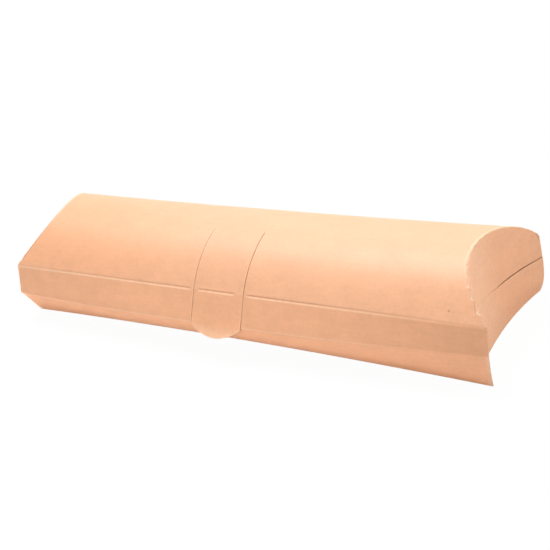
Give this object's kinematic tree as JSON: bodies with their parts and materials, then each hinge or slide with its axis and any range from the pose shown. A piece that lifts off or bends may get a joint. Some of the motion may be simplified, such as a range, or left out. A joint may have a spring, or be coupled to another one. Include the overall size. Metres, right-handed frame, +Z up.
{
  "type": "pillow box",
  "caption": "Long paperboard pillow box with an arched top, hollow-curved end flaps, a glued front seam and a tear strip with a rounded pull tongue across its front.",
  "frame": {"origin": "middle of the underside's length and between the two top creases, on the face the box rests on", "axes": "+X along the box to the right seen from the front, +Y from the tear strip's side to the back, +Z up"},
  "size_m": [0.2006, 0.0682, 0.0369],
  "materials": {
    "kraft_board": "matte",
    "seam_adhesive": "matte"
  },
  "bodies": {
    "carton": {"bottom_panel": "kraft_board", "back_wall": "kraft_board", "front_wall": "kraft_board", "top_panel": "kraft_board", "front_flap_left": "kraft_board", "front_flap_right": "kraft_board", "seam_glue_left": "seam_adhesive", "seam_glue_right": "seam_adhesive"},
    "tear_strip": {"tear_strip": "kraft_board"},
    "pull_tab": {"pull_tab": "kraft_board"},
    "pull_tongue": {"pull_tongue": "kraft_board"},
    "right_upper_flap": {"right_upper_flap": "kraft_board"},
    "right_lower_flap": {"right_lower_flap": "kraft_board"},
    "left_upper_flap": {"left_upper_flap": "kraft_board"},
    "left_lower_flap": {"left_lower_flap": "kraft_board"}
  },
  "joints": [
    {"name": "tear_fold", "type": "hinge", "parent": "carton", "child": "tear_strip", "pos_m": [0, -0.0038, 0.03538], "axis": [-1, 0, 0], "range_deg": [0, 100]},
    {"name": "tab_crease", "type": "hinge", "parent": "tear_strip", "child": "pull_tab", "pos_m": [0, -0.0256, 0.0235], "axis": [-1, 0, 0], "range_deg": [0, 90]},
    {"name": "tongue_bend", "type": "hinge", "parent": "pull_tab", "child": "pull_tongue", "pos_m": [0, -0.03253, 0.0141], "axis": [-1, 0, 0], "range_deg": [0, 80]},
    {"name": "right_upper_crease", "type": "hinge", "parent": "carton", "child": "right_upper_flap", "pos_m": [0.0893, 0, 0.0366], "axis": [0, -1, 0], "range_deg": [0, 90]},
    {"name": "right_lower_crease", "type": "hinge", "parent": "carton", "child": "right_lower_flap", "pos_m": [0.0986, 0, 0], "axis": [0, 1, 0], "range_deg": [0, 90]},
    {"name": "left_upper_crease", "type": "hinge", "parent": "carton", "child": "left_upper_flap", "pos_m": [-0.0893, 0, 0.0366], "axis": [0, 1, 0], "range_deg": [0, 90]},
    {"name": "left_lower_crease", "type": "hinge", "parent": "carton", "child": "left_lower_flap", "pos_m": [-0.0986, 0, 0], "axis": [0, -1, 0], "range_deg": [0, 90]}
  ]
}
